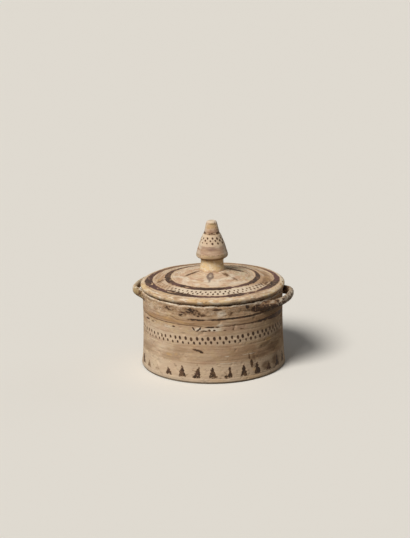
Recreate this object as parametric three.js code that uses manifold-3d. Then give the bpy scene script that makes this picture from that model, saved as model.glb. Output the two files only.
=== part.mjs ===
import * as THREE from 'three';
import { mergeVertices } from 'three/addons/utils/BufferGeometryUtils.js';
import Module from 'manifold-3d';

// A lidded clay box (pyxis): a low round pot with two loop handles at its rim, and a domed lid with a cone knob.
// Millimetres, +Z up. The origin is the middle of the underside, and the handles lie on the X axis.

// The base, a disc with a low standing ring
const BASE_LIP = 0.6;
const BASE_THICKNESS = 5.0;
const BASE_EDGE_ROUND = 1.6;
const BASE_SHOULDER = 1.8;
const RECESS_RADIUS = 47.0;
const RECESS_DEPTH = 1.2;
const RECESS_SLOPE = 2.0;

// The wall, drawn in a little at its waist
const WALL_FOOT_RADIUS = 62.4;
const WALL_WAIST_RADIUS = 60.8;
const WALL_RIM_RADIUS = 61.2;
const WALL_THICKNESS = 4.5;
const WALL_WAIST_Z = 37.0;
const RIM_Z = 67.6;
const RIM_ROUND = 1.1;
const WALL_FOOT_FILLET = 1.8;

// The two loop handles, which stand a little above the rim beside the lid
const HANDLE_HEIGHT = 7.0;
const HANDLE_THICKNESS = 5.0;
const HANDLE_REACH = 9.7;
const HANDLE_HALF_ANGLE = 29;
const HANDLE_FLAT_ANGLE = 13;
const HANDLE_RISE = 1.0;
const HANDLE_ROOT_DIP = 1.8;
const HANDLE_EMBED = 2.0;
const HANDLE_PAD_WIDTH = 14.0;
const HANDLE_PAD_HEIGHT = 7.4;
const HANDLE_PAD_DEPTH = 6.4;

// The lid plate
const LID_OVERHANG = 1.9;
const LID_EDGE_HEIGHT = 6.2;
const LID_EDGE_BELLY = 2.8;
const LID_EDGE_UNDERCUT = 1.6;
const LID_BAND_INSET = 5.1;
const LID_CHANNEL_RADIUS = 53.4;
const LID_CHANNEL_DIP = 0.3;
const LID_STEP_RADIUS = 42.3;
const LID_STEP_RISE = 8.7;
const LID_LEDGE_RADIUS = 36.0;
const LID_LEDGE_RISE = 9.3;
const LID_DOME_RISE = 15.5;
const LID_DOME_SWELL = 0.4;
const LID_THICKNESS = 5.0;

// The ring under the lid that keeps it centred in the mouth
const FLANGE_DEPTH = 6.5;
const FLANGE_THICKNESS = 4.0;
const FLANGE_EDGE_ROUND = 1.2;

// The knob: a short stem under a stepped cone
const STEM_RADIUS = 10.2;
const STEM_HEIGHT = 10.4;
const STEM_FOOT_FLARE = 1.0;
const STEM_NECK_DRAW = 0.6;
const CONE_BASE_RADIUS = 11.6;
const CONE_WIDEST_RADIUS = 14.0;
const CONE_WIDEST_RISE = 3.0;
const CONE_BELLY_RADIUS = 11.3;
const CONE_BELLY_RISE = 12.4;
const CONE_STEP_RADIUS = 7.9;
const CONE_STEP_RISE = 20.8;
const CONE_STEP_INSET = 1.0;
const CONE_STEP_HEIGHT = 1.2;
const CONE_HEIGHT = 32.7;
const CONE_TIP_RADIUS = 4.5;
const CONE_TIP_ROUND = 1.4;

// Clearances
const SEAT_GAP = 0.3;
const FLANGE_CLEARANCE = 1.0;
const SLIP_GAP = 0.3;

// Fineness of the round forms
const ROUND_STEPS = 60;
const KNOB_STEPS = 32;
const HANDLE_STEPS = 22;
const HANDLE_SECTION_STEPS = 6;
const PAD_STEPS = 12;
const CURVE_STEPS = 3;
const ARC_STEPS = 3;

// Heights and radii that follow from the sizes above
const BASE_RADIUS = WALL_FOOT_RADIUS + BASE_LIP;
const LID_Z = RIM_Z + SEAT_GAP;
const LID_RADIUS = WALL_RIM_RADIUS + LID_OVERHANG;
const MOUTH_RADIUS = WALL_RIM_RADIUS - WALL_THICKNESS;
const FLANGE_RADIUS = MOUTH_RADIUS - FLANGE_CLEARANCE;
const FLANGE_BORE = FLANGE_RADIUS - FLANGE_THICKNESS;
const LID_TOP_Z = LID_Z + LID_DOME_RISE;
const CONE_Z = LID_TOP_Z + STEM_HEIGHT;

const wasm = await Module();
wasm.setup();

const point = (radius, z) => new THREE.Vector2(radius, z);

// Points of an oval round from one angle to another, in degrees, about a middle at a radius and a height
function arc(radius, z, width, height, fromDegrees, toDegrees) {
  const points = [];
  for (let step = 0; step <= ARC_STEPS; step += 1) {
    const turn = THREE.MathUtils.degToRad(THREE.MathUtils.lerp(fromDegrees, toDegrees, step / ARC_STEPS));
    points.push(point(radius + width * Math.cos(turn), z + height * Math.sin(turn)));
  }
  return points;
}

// Points of a smooth curve through a few places, without its two ends
function between(places) {
  const points = new THREE.SplineCurve(places).getPoints(CURVE_STEPS * (places.length - 1));
  return points.slice(1, -1);
}

// A solid of revolution about Z
function turned(profile, steps) {
  const geometry = new THREE.LatheGeometry(profile, steps);
  geometry.rotateX(Math.PI / 2);
  return geometry;
}

// A closed geometry as a solid that can be joined and cut
function solidOf(geometry) {
  const bare = geometry.clone();
  bare.deleteAttribute('normal');
  bare.deleteAttribute('uv');
  const merged = mergeVertices(bare, 1e-4);
  const corners = Array.from(merged.index.array);
  const kept = [];
  for (let i = 0; i < corners.length; i += 3) {
    const [a, b, c] = corners.slice(i, i + 3);
    if (a !== b && b !== c && c !== a) {
      kept.push(a, b, c);
    }
  }
  return new wasm.Manifold(new wasm.Mesh({
    numProp: 3,
    vertProperties: new Float32Array(merged.attributes.position.array),
    triVerts: new Uint32Array(kept),
  }));
}

// The way back from a joined or cut solid to a geometry
function geometryOf(solid) {
  const mesh = solid.getMesh();
  const geometry = new THREE.BufferGeometry();
  geometry.setAttribute('position', new THREE.BufferAttribute(new Float32Array(mesh.vertProperties), 3));
  geometry.setIndex(new THREE.BufferAttribute(new Uint32Array(mesh.triVerts), 1));
  geometry.computeVertexNormals();
  return geometry;
}

function clay(color, roughness) {
  return new THREE.MeshStandardMaterial({ color, roughness, metalness: 0 });
}

function piece(name, geometry, material) {
  const mesh = new THREE.Mesh(geometry, material);
  mesh.name = name;
  return mesh;
}

// The outside of the wall from its foot to the round of its rim
function wallOutline() {
  const foot = point(WALL_FOOT_RADIUS, BASE_THICKNESS);
  const waist = point(WALL_WAIST_RADIUS, WALL_WAIST_Z);
  const rim = point(WALL_RIM_RADIUS, RIM_Z - RIM_ROUND);
  return [foot, ...between([foot, waist, rim]), rim];
}

// The base: a flat disc, hollowed a little underneath so that it stands on a ring
function baseDisc() {
  return turned([
    point(0, RECESS_DEPTH),
    point(RECESS_RADIUS, RECESS_DEPTH),
    point(RECESS_RADIUS + RECESS_SLOPE, 0),
    ...arc(BASE_RADIUS - BASE_EDGE_ROUND, BASE_EDGE_ROUND, BASE_EDGE_ROUND, BASE_EDGE_ROUND, -90, 0),
    point(BASE_RADIUS, BASE_THICKNESS - BASE_SHOULDER),
    point(WALL_FOOT_RADIUS, BASE_THICKNESS),
    point(0, BASE_THICKNESS),
  ], ROUND_STEPS);
}

// The wall: a ring of even thickness that stands on the base and ends in a flat rim with rounded edges
function bodyWall() {
  const outside = wallOutline();
  const inside = outside.slice(1).reverse().map((place) => point(place.x - WALL_THICKNESS, place.y));
  const foot = point(WALL_FOOT_RADIUS - WALL_THICKNESS, BASE_THICKNESS + WALL_FOOT_FILLET);
  const profile = [
    ...outside,
    ...arc(WALL_RIM_RADIUS - RIM_ROUND, RIM_Z - RIM_ROUND, RIM_ROUND, RIM_ROUND, 0, 90).slice(1),
    ...arc(MOUTH_RADIUS + RIM_ROUND, RIM_Z - RIM_ROUND, RIM_ROUND, RIM_ROUND, 90, 180).slice(0, -1),
    ...inside,
    foot,
    point(foot.x - WALL_FOOT_FILLET, BASE_THICKNESS),
  ];
  profile.push(profile[0].clone());
  return turned(profile, ROUND_STEPS);
}

// The middle line of the right handle: out from the wall, round the loop and back, dipping at both roots
function handleLine() {
  const reach = WALL_RIM_RADIUS + HANDLE_REACH - HANDLE_THICKNESS / 2;
  const root = WALL_RIM_RADIUS - HANDLE_EMBED;
  const height = RIM_Z + HANDLE_RISE - HANDLE_HEIGHT / 2;
  const places = [];
  for (let step = 0; step <= HANDLE_STEPS; step += 1) {
    const degrees = THREE.MathUtils.lerp(-HANDLE_HALF_ANGLE, HANDLE_HALF_ANGLE, step / HANDLE_STEPS);
    const bend = THREE.MathUtils.smoothstep(Math.abs(degrees), HANDLE_FLAT_ANGLE, HANDLE_HALF_ANGLE);
    const radius = THREE.MathUtils.lerp(reach, root, bend);
    const turn = THREE.MathUtils.degToRad(degrees);
    places.push(new THREE.Vector3(
      radius * Math.cos(turn),
      radius * Math.sin(turn),
      height - HANDLE_ROOT_DIP * bend,
    ));
  }
  return places;
}

// What the handles are fitted to: the wall's outside, grown by the joint's gap and filled to the axis
function wallForFitting() {
  const outline = wallOutline().map((place) => point(place.x + SLIP_GAP, place.y));
  const top = RIM_Z + HANDLE_HEIGHT;
  const rim = outline[outline.length - 1];
  return solidOf(turned([
    point(0, BASE_THICKNESS),
    ...outline,
    point(rim.x, top),
    point(0, top),
  ], ROUND_STEPS));
}

// A handle: a rolled strip of clay bent into a loop, with a pressed pad at each root
function loopHandle() {
  const line = handleLine();
  const section = new THREE.Shape();
  section.absellipse(0, 0, HANDLE_HEIGHT / 2, HANDLE_THICKNESS / 2, 0, 2 * Math.PI);
  const roll = new THREE.ExtrudeGeometry(section, {
    steps: HANDLE_STEPS,
    curveSegments: HANDLE_SECTION_STEPS,
    extrudePath: new THREE.CatmullRomCurve3(line),
  });
  let handle = solidOf(roll);
  for (const side of [-1, 1]) {
    const turn = THREE.MathUtils.degToRad(side * HANDLE_HALF_ANGLE);
    const pad = new THREE.SphereGeometry(0.5, PAD_STEPS, PAD_STEPS / 2);
    pad.scale(HANDLE_PAD_DEPTH, HANDLE_PAD_WIDTH, HANDLE_PAD_HEIGHT);
    pad.rotateZ(turn);
    pad.translate(WALL_RIM_RADIUS * Math.cos(turn), WALL_RIM_RADIUS * Math.sin(turn), line[0].z);
    handle = handle.add(solidOf(pad));
  }
  return geometryOf(handle.subtract(wallForFitting()));
}

// The lid's upper side, from its widest place to the foot of the stem
function lidTop() {
  const bandRadius = LID_RADIUS - LID_BAND_INSET;
  const bellyZ = LID_Z + LID_EDGE_BELLY;
  const channel = point(LID_CHANNEL_RADIUS, LID_Z + LID_EDGE_HEIGHT - LID_CHANNEL_DIP);
  const step = point(LID_STEP_RADIUS, LID_Z + LID_STEP_RISE);
  const ledge = point(LID_LEDGE_RADIUS, LID_Z + LID_LEDGE_RISE);
  const crown = point(STEM_RADIUS + STEM_FOOT_FLARE, LID_TOP_Z);
  const middle = point((ledge.x + crown.x) / 2, (ledge.y + crown.y) / 2 + LID_DOME_SWELL);
  return [
    ...arc(bandRadius, bellyZ, LID_BAND_INSET, LID_EDGE_HEIGHT - LID_EDGE_BELLY, 0, 90),
    channel,
    step,
    ledge,
    ...between([ledge, middle, crown]),
    crown,
  ];
}

// The lid plate: a low dome of even thickness with a rounded edge and a flat seat under its rim
function lidPlate() {
  const top = lidTop();
  const hollowed = top.filter((place) => place.x < FLANGE_BORE).reverse();
  const undercutRadius = LID_RADIUS - LID_EDGE_UNDERCUT;
  return turned([
    point(0, LID_TOP_Z - LID_THICKNESS),
    ...hollowed.map((place) => point(place.x, place.y - LID_THICKNESS)),
    point(FLANGE_BORE, LID_Z),
    ...arc(undercutRadius, LID_Z + LID_EDGE_BELLY, LID_EDGE_UNDERCUT, LID_EDGE_BELLY, -90, 0).slice(0, -1),
    ...top,
    point(0, LID_TOP_Z),
  ], ROUND_STEPS);
}

// The ring under the lid, which drops inside the mouth
function lidFlange() {
  const edgeZ = LID_Z - FLANGE_DEPTH + FLANGE_EDGE_ROUND;
  const profile = [
    point(FLANGE_BORE, LID_Z),
    ...arc(FLANGE_BORE + FLANGE_EDGE_ROUND, edgeZ, FLANGE_EDGE_ROUND, FLANGE_EDGE_ROUND, 180, 270),
    ...arc(FLANGE_RADIUS - FLANGE_EDGE_ROUND, edgeZ, FLANGE_EDGE_ROUND, FLANGE_EDGE_ROUND, 270, 360),
    point(FLANGE_RADIUS, LID_Z),
  ];
  profile.push(profile[0].clone());
  return turned(profile, ROUND_STEPS);
}

// The stem, spread a little where it joins the lid and the cone
function knobStem() {
  const foot = point(STEM_RADIUS + STEM_FOOT_FLARE, LID_TOP_Z);
  const neck = point(STEM_RADIUS - STEM_NECK_DRAW, LID_TOP_Z + STEM_HEIGHT / 2);
  const head = point(STEM_RADIUS, CONE_Z);
  return turned([
    point(0, LID_TOP_Z),
    foot,
    ...between([foot, neck, head]),
    head,
    point(0, CONE_Z),
  ], KNOB_STEPS);
}

// The cone: a rounded lower edge, a long taper, one step and a blunt tip
function knobCone() {
  const at = (radius, rise) => point(radius, CONE_Z + rise);
  const bulge = CONE_WIDEST_RADIUS - CONE_BASE_RADIUS;
  const widest = at(CONE_WIDEST_RADIUS, CONE_WIDEST_RISE);
  const belly = at(CONE_BELLY_RADIUS, CONE_BELLY_RISE);
  const step = at(CONE_STEP_RADIUS, CONE_STEP_RISE);
  const tipZ = CONE_Z + CONE_HEIGHT - CONE_TIP_ROUND;
  return turned([
    at(0, 0),
    ...arc(CONE_BASE_RADIUS, widest.y, bulge, CONE_WIDEST_RISE, -90, 0),
    ...between([widest, belly, step]),
    step,
    at(CONE_STEP_RADIUS - CONE_STEP_INSET, CONE_STEP_RISE + CONE_STEP_HEIGHT),
    ...arc(CONE_TIP_RADIUS - CONE_TIP_ROUND, tipZ, CONE_TIP_ROUND, CONE_TIP_ROUND, 0, 90),
    at(0, CONE_HEIGHT),
  ], KNOB_STEPS);
}

const bareClay = clay(0xc7a377, 0.85);
const paintedClay = clay(0xcdb08a, 0.8);
const stainedClay = clay(0xb9945f, 0.85);

const rightHandle = piece('handle_right', loopHandle(), bareClay);
const leftHandle = piece('handle_left', loopHandle(), bareClay);
leftHandle.rotation.z = Math.PI;

const pot = new THREE.Group();
pot.add(
  piece('base_disc', baseDisc(), bareClay),
  piece('body_wall', bodyWall(), paintedClay),
  rightHandle,
  leftHandle,
);

const lid = new THREE.Group();
lid.add(
  piece('lid_plate', lidPlate(), paintedClay),
  piece('lid_flange', lidFlange(), bareClay),
  piece('knob_stem', knobStem(), stainedClay),
  piece('knob_cone', knobCone(), paintedClay),
);

const pyxis = new THREE.Group();
pyxis.add(pot, lid);

export default pyxis;
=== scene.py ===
import itertools
import math
from types import SimpleNamespace

import bpy
import numpy as np
from mathutils import Euler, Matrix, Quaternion, Vector


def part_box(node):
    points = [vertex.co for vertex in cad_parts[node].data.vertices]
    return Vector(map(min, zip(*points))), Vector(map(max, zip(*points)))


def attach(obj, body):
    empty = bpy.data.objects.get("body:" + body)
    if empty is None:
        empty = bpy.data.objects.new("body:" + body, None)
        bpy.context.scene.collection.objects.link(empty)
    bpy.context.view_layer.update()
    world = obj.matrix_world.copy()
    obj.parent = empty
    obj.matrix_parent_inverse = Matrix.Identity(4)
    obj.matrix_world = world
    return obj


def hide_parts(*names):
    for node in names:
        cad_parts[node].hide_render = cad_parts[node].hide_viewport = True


# A lidded clay box with worn dark paint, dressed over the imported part.
# Sizes are in millimetres in the part's own frame, and MM turns them into Blender's metres.
# Angles round the axis are in degrees as seen in the photograph: 0 faces the viewer, plus is to the right.

MM = 0.001
FULL_TURN = 2 * math.pi

# The camera, as fitted to the ellipses of the base and the lid
CAMERA_TURN = 20.0
CAMERA_PITCH = 15.0
CAMERA_ROLL = 0.95
CAMERA_DISTANCE = 1.2
CAMERA_LENS = 92.74
CAMERA_SENSOR = 36.0
AIM_HEIGHT = 0.0833
AIM_SIDE = 0.0063

# Lamps that light evenly from far away: angle from the viewer, angle above the floor, softness, strength.
# A strength of 1 lights a surface that faces the lamp to the brightness of its own colour.
KEY_LAMP = {"turn": -38, "rise": 47, "softness": 24, "strength": 0.98}
RIM_LAMP = {"turn": 118, "rise": 24, "softness": 30, "strength": 0.04}
LAMP_COLOUR = (1.0, 0.97, 0.93)
SKY_STRENGTH = 0.13
FLOOR_SIZE = 60.0
FLOOR_COLOUR = (238, 235, 228)
FLOOR_BOUNCE = (92, 88, 82)

# Fineness: steps round each turned piece, and the step along its outline
WALL_STEPS = 480
LID_STEPS = 440
KNOB_STEPS = 200
FINE_STEP = 0.7
HIDDEN_STEP = 2.4
FLANGE_STEP = 0.9
STEM_STEP = 0.5
CONE_STEP = 0.4
CURVE_STEPS = 6
NOISE_CELLS = 32
NOISE_TURN = np.array(Euler((0.6, 0.5, 0.4)).to_matrix())

# How far in from the edge of the base and the lid, and down inside the rim, the fine steps go
FINE_EDGE = 6.0
FINE_LAP = 3.0
FINE_MOUTH = 5.0

# The wall's outline
LOWER_WALL_RADIUS = 61.3
LOWER_WALL_HEIGHT = 21.0
WAIST_RADIUS = 60.8
WAIST_HEIGHT = 37.0
UPPER_WALL_RADIUS = 60.8
UPPER_WALL_HEIGHT = 53.0
RIM_RADIUS = 61.2
WALL_THICKNESS = 4.5
RIM_ROUND = 1.1
FOOT_FILLET = 1.8
FOOT_OVERLAP = 0.8

# The base's outline
BASE_ROUND = 1.92
BASE_SHOULDER = 2.5
RECESS_RADIUS = 47.0
RECESS_DEPTH = 1.2
RECESS_SLOPE = 2.0

# The handles: middle line, section and the pads at their roots
HANDLE_FLAT_ANGLE = 13.0
HANDLE_BENT_ANGLE = 33.0
HANDLE_END_ANGLE = 35.0
HANDLE_SLACK = 0.1
HANDLE_HALF_HEIGHT = 3.6
HANDLE_HALF_THICKNESS = 2.6
HANDLE_EMBED = 2.0
HANDLE_ROOT_DIP = 1.8
HANDLE_ROOT_SPREAD = 0.28
HANDLE_ROOT_THICKER = 0.8
LEFT_HANDLE_LIFT = 1.0
RIGHT_HANDLE_LIFT = -0.5
ROOT_SMEARS = ((46.0, 22.0), (99.0, 12.0), (-81.0, 14.0), (-139.0, 12.0))
ROOT_SMEAR_MIDDLE = 65.0
ROOT_SMEAR_REACH = 3.2
ROOT_SMEAR_HEIGHT = 1.2
HANDLE_STEPS = 110
HANDLE_SECTION_STEPS = 36
HANDLE_INSET = 57.8

# The lid's outline, as radii and as heights above its seat
LID_BELLY = 2.8
LID_SHOULDER_HEIGHT = 4.5
LID_SHOULDER_INSET = 0.7
LID_LIP_HEIGHT = 5.7
LID_LIP_INSET = 2.6
LID_BAND_HEIGHT = 6.2
LID_BAND_INSET = 5.1
LID_CHANNEL_RADIUS = 53.4
LID_CHANNEL_HEIGHT = 5.9
LID_STEP_RADIUS = 42.3
LID_STEP_HEIGHT = 8.7
LID_LEDGE_RADIUS = 36.0
LID_LEDGE_HEIGHT = 9.3
LID_DOME_RADIUS = 23.6
LID_DOME_HEIGHT = 12.8
LID_CROWN_RADIUS = 11.2
LID_THICKNESS = 5.0
LID_UNDERCUT = 1.6
FLANGE_THICKNESS = 4.0
FLANGE_ROUND = 1.2

# The knob's outline, as radii and as heights above the foot of each part
STEM_SUNK = 0.4
STEM_FOOT_HEIGHT = 0.2
STEM_NECK = 9.6
STEM_HEAD = 10.2
CONE_FOOT_RADIUS = 11.6
CONE_LIP_HEIGHT = 1.0
CONE_LIP_INSET = 0.5
CONE_WIDEST_HEIGHT = 3.0
CONE_BELLY_RADIUS = 11.3
CONE_BELLY_HEIGHT = 12.4
CONE_LEDGE_RADIUS = 7.9
CONE_LEDGE_HEIGHT = 20.8
CONE_LEDGE_INSET = 1.0
CONE_LEDGE_RISE = 1.2
CONE_TIP_RADIUS = 4.5
CONE_TIP_HEIGHT = 1.0
CONE_TIP_INSET = 1.2

# Lines left by the wheel and the tool: heights on the wall, and radius and depth on the lid
RIM_GROOVE = 55.9
BELLY_GROOVE = 49.8
WHEEL_LINES = (26.0, 22.5, 19.4, 31.5, 44.6)
WHEEL_RIDGE_SPACING = 7.5
RUBBED_ZONE = 58.0
LID_TOOL_LINES = ((58.4, 0.4), (53.3, 0.2), (42.5, 0.4), (36.0, 0.3))

# Where a soft mask starts and ends, as radii or heights: the wall's outside for relief, smears and paint,
# the chipped parts of the rim and the lid, and the lid's upper side, edge, painted edge and inner disc
SKIN_RADII = (58.6, 59.6)
SMEAR_RADII = (60.0, 60.6)
PAINT_RADII = (59.2, 59.8)
RIM_CHIP_HEIGHTS = (65.6, 67.4)
LID_CHIP_HEIGHTS = (69.8, 68.2)
LID_TOP_HEIGHTS = (69.5, 71.5)
LID_EDGE_RADII = (56.5, 59.5)
LID_PAINTED_EDGE_RADII = (58.5, 60.0)
LID_DISC_RADII = (37, 34)

# Bands of another colour: heights on the wall and the cone, and radii on the lid
WALL_BROWN_BAND = (50.6, 54.8)
WALL_DOT_BAND = (34.0, 41.5)
LID_DOT_BAND = (42.4, 51.5)
# The band between the lid's rings where its left and right ends get painted shade
LID_SIDE_SHADE_BAND = (42.0, 52.0)
CONE_OLIVE_BAND = (94.3, 98.4)
CONE_ROSE_BAND = (98.6, 105.8)
CONE_PURPLE_BAND = (102.0, 105.6)
CONE_DOT_BAND = (105.5, 115.2)
CONE_UPPER_ROSE_BAND = (116.4, 119.6)
CONE_OCHRE_BAND = (119.6, 123.6)
# A dark line at the cone's foot: painted shade under its lower edge
CONE_FOOT_SHADE_LINE = 94.2
CONE_BROWN_LINE = 98.2
# A dark line at the ledge: brown paint and painted shade in the step
CONE_LEDGE_PAINT_AND_SHADE = 116.2
CONE_OCHRE_LINE = 120.9
CONE_PALE_TIP = (124.6, 125.4)
STEM_PINK_FOOT = (85.5, 84.0)
# Painted shade at the stem's head, under the cone
STEM_SHADED_HEAD = (92.6, 93.6)

# The same for the handles, with the angle where the right one's colours start
HANDLE_RIGHT_ANGLES = (10, 30)
HANDLE_OLIVE_RADII = (69.4, 68.2)
HANDLE_PALE_RADII = (68.6, 70.0)
# Dark paint on the handle's inner face toward the wall and on its underside: partly worn paint, partly
# painted shade
HANDLE_DARK_RADII = (66.6, 65.6)
HANDLE_DARK_HEIGHTS = (62.4, 60.4)
# A painted highlight on the upper side of the handles
HANDLE_HIGHLIGHT_HEIGHTS = (66.4, 67.6)
HANDLE_ROOT_ANGLES = (66, 54)
HANDLE_ROOT_HEIGHTS = (65.6, 63.0)

# Painted ornament: rows of dots, rays at the foot and rings on the lid
WALL_DOTS = 77
WALL_DOT_TILT = 1.7
WALL_DOT_ROWS = ((39.1, 1.1, 1.6, 0.39), (35.7, 0.95, 1.35, -0.1))
LID_DOTS = 71
LID_DOT_ROWS = ((49.2, 0.85, 1.2, 0.5), (46.2, 0.8, 1.15, 0.0))
DOT_STRENGTH = 0.82
CONE_DOTS = 13
CONE_DOT_ROWS = ((112.2, 0.9, 0.95, 0.35), (110.2, 0.85, 0.9, 0.85), (108.2, 0.85, 0.9, 0.4))
RAYS = 29
RAY_OFFSET = -1.0
RAY_FOOT = 5.2
RAY_TIP = 15.0
RAY_HALF_WIDTH = 3.3
RAY_RADIUS = 62.0
RAY_LEAN = 12.0
LID_MARK_RADIUS = 55.0
CONE_MARK_RADIUS = 4.4
MARK_REACH = 1.25
MARK_CORE = 0.64
RING_START = 30.0
RING_SPAN = 40.0
RING_END_ANGLE = 179.9
DROP_ANGLE = -6.0
DROP_RADIUS = 17.6
DROP_LOOP = 2.1
DROP_TAIL_START = (21, 23)
DROP_TAIL_END = (31, 26)

# Rays seen in the photograph, by their place from the middle: strength, height and lean
SEEN_RAYS = {
    -5: (0.4, 0.6, 0), -4: (0.15, 0.6, 0), -3: (0.8, 0.62, -0.2), -2: (0.85, 0.95, 0),
    -1: (1, 1, 0.45), 0: (1, 1, -0.1), 1: (0.85, 1.05, 0.3), 2: (1, 1, 0),
    3: (1, 1, -0.1), 4: (0.9, 0.65, 0), 5: (1, 1, 0.1), 6: (1, 0.95, 0),
}

# Clay and paint: how rough and glossy they are, and their colours from 0 to 255
CLAY_ROUGHNESS = 0.86
PAINT_GLOSS = 0.18
HANDLE_PAINT_GLOSS = 0.15
SPECULAR_LEVEL = 0.3
PURPLE_TINT = 0.35
NOISE_SHIFT = 7.3
CHANCE_SHIFT = 31.7
CLAY = (210, 182, 150)
CREAM = (227, 203, 174)
OCHRE = (206, 168, 116)
TAN = (172, 138, 104)
PINK = (194, 154, 126)
PALE = (232, 218, 196)
GREY = (158, 146, 130)
OLIVE = (158, 136, 92)
SAGE = (204, 194, 164)
SMOKE = (128, 108, 96)
ROSE = (164, 126, 104)
UMBER = (118, 90, 66)
RUSSET = (176, 136, 98)
BLACK_SLIP = (46, 33, 23)
BROWN_SLIP = (92, 66, 42)
PURPLE_SLIP = (96, 66, 64)
WASH = (150, 116, 84)
YELLOW_CLAY = (230, 203, 156)

# Patches of colour: colour, size, stretch round the wheel, where the noise starts and is full, and strength
BARE_PATCHES = (
    (CREAM, 21, 1.5, 0.46, 0.66, 0.7), (OCHRE, 16, 2.4, 0.5, 0.7, 0.5),
    (PINK, 13, 2.2, 0.5, 0.68, 0.55), (GREY, 11, 2.6, 0.54, 0.72, 0.35),
)
BARE_SPECKS = (
    (CREAM, 1.1, 18, 0.5, 0.68, 0.6), (TAN, 2.6, 4, 0.52, 0.72, 0.4),
    (PINK, 4.2, 1.4, 0.5, 0.62, 0.35), (YELLOW_CLAY, 5, 1.5, 0.52, 0.64, 0.35),
    (PALE, 1, 3, 0.58, 0.72, 0.45), (BROWN_SLIP, 0.9, 2.5, 0.68, 0.78, 0.55),
)
WALL_BAND_PATCHES = (
    (RUSSET, 8, 3, 0.3, 0.55, 0.8), (UMBER, 1.1, 22, 0.52, 0.62, 0.6), (CREAM, 1.2, 16, 0.56, 0.66, 0.5),
)
LID_DISC_PATCHES = ((PINK, 6, 1.2, 0.48, 0.58, 0.66), (PALE, 7, 1.2, 0.47, 0.6, 0.62))
# Patches on the lid's edge; the pale ones are painted highlights along the rounded edge
LID_EDGE_PATCHES_AND_HIGHLIGHTS = (
    (TAN, 5, 2, 0.45, 0.62, 0.6), (UMBER, 0.9, 16, 0.54, 0.66, 0.4),
    (YELLOW_CLAY, 6, 1.5, 0.5, 0.62, 0.7), (PALE, 3, 2, 0.54, 0.64, 0.7),
)
# Grey-brown patches over the right handle: painted shade on the side away from the key lamp
HANDLE_RIGHT_SHADE_PATCHES = ((GREY, 5, 1, 0.3, 0.5, 0.7), (UMBER, 3, 1.5, 0.42, 0.58, 0.8))
STEM_PATCHES = (
    (YELLOW_CLAY, 5, 1, 0.2, 0.45, 0.9), (OCHRE, 2.4, 1, 0.54, 0.7, 0.5), (PALE, 1.8, 1, 0.5, 0.64, 0.7),
)

# Marks on the wall: angle, height, width, height of the mark, lean in degrees and strength
WALL_DARK_MARKS = (
    (-13, 28.9, 9.5, 2, -10, 0.85), (-10, 27.5, 4, 1.8, -20, 0.95), (-16, 47.5, 4, 1.4, -48, 0.9),
    (-12.4, 46.4, 4.4, 1.6, 30, 1), (-10.8, 47.9, 4.2, 1.4, 50, 1), (-7.3, 45.9, 6.4, 1, 0, 0.9),
    (-3.4, 46.5, 2.6, 1.9, 0, 0.85), (0.5, 46.6, 2.3, 1.8, 0, 0.85), (9, 46.3, 3.4, 1.1, 0, 0.65),
    (15.8, 46.6, 2.2, 2.6, 0, 0.5), (23, 46.3, 5, 1, 0, 0.6), (-33.6, 47.7, 3.4, 1.4, 0, 0.8),
    (-58, 47, 6, 1.3, 6, 0.6), (-67, 47.2, 9, 1.8, 4, 0.7), (37, 61.6, 13, 5.4, 8, 1.2),
    (48, 60.2, 16, 4.4, -8, 1.2), (31, 15, 3.2, 9, 6, 0.8), (29, 21, 2, 7, 10, 0.5),
    (-78, 8, 5, 9, 0, 0.5),
)

# Clusters of dark flecks under the rim, in the same terms
WALL_FLECKED = (
    (-17, 62.4, 15, 6.5, -10, 1), (-10, 59.3, 10, 2.6, 5, 1), (-25.5, 59.5, 9, 5, 0, 0.75),
    (-38, 63, 14, 5, 0, 0.6), (2.5, 64.4, 13, 2.6, 0, 0.7), (13.5, 60.6, 5, 4, 0, 0.8),
    (27.8, 64.4, 4.4, 3.2, -35, 1.2), (36.5, 62.4, 12, 5.6, 8, 1.25), (48, 61, 16, 4.4, -8, 1.25),
    (62, 59.2, 18, 3.6, -6, 1.2),
)
WALL_ROSE_STAINS = (
    (17, 48, 22, 6, 0, 1), (-6, 18.5, 26, 3, 0, 0.7), (6, 30, 20, 6, 0, 0.6),
)
WALL_OCHRE_STAINS = (
    (-44, 54.6, 22, 3.4, -8, 0.9), (-26, 52.4, 16, 2, -8, 0.7), (-38.5, 22.6, 7, 2.6, 0, 0.75),
    (-31.5, 23.6, 4, 2.2, 0, 0.5), (50, 32, 8, 3.4, 0, 0.9), (33, 9, 3, 3, 0, 0.7),
    (-60, 51.5, 16, 3, 0, 0.4), (4, 3, 20, 3, 0, 0.3), (30, 3, 24, 4, 0, 0.4),
    (140, 30, 40, 14, 10, 0.6), (-150, 52, 40, 8, -6, 0.6),
)
# Brown stains and smears, strongest on the right, where they also paint shade on the side away from the key
# lamp and down the wall's right edge
WALL_BROWN_STAINS_AND_SHADE = (
    (-33, 55.4, 13, 1.1, -18, 0.9), (-20, 51.4, 14, 1, -5, 0.75), (44, 28, 16, 5, 12, 0.75),
    (58, 25, 24, 10, 6, 0.85), (66, 33, 18, 8, -8, 0.7), (33, 18, 5, 15, 4, 1),
    (40, 20, 16, 6, 0, 0.7), (46, 9.5, 13, 8, 0, 1), (59, 11, 14, 11, 0, 1),
    (78, 40, 14, 46, 0, 0.75), (64, 55, 24, 4, 0, 0.6), (30, 62, 20, 6, 0, 0.45),
    (-17, 61.5, 16, 6, -8, 0.5), (118, 24, 50, 18, -5, 0.7), (146, 58, 44, 9, 4, 0.6),
    (-120, 20, 34, 10, 8, 0.5),
)
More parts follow.
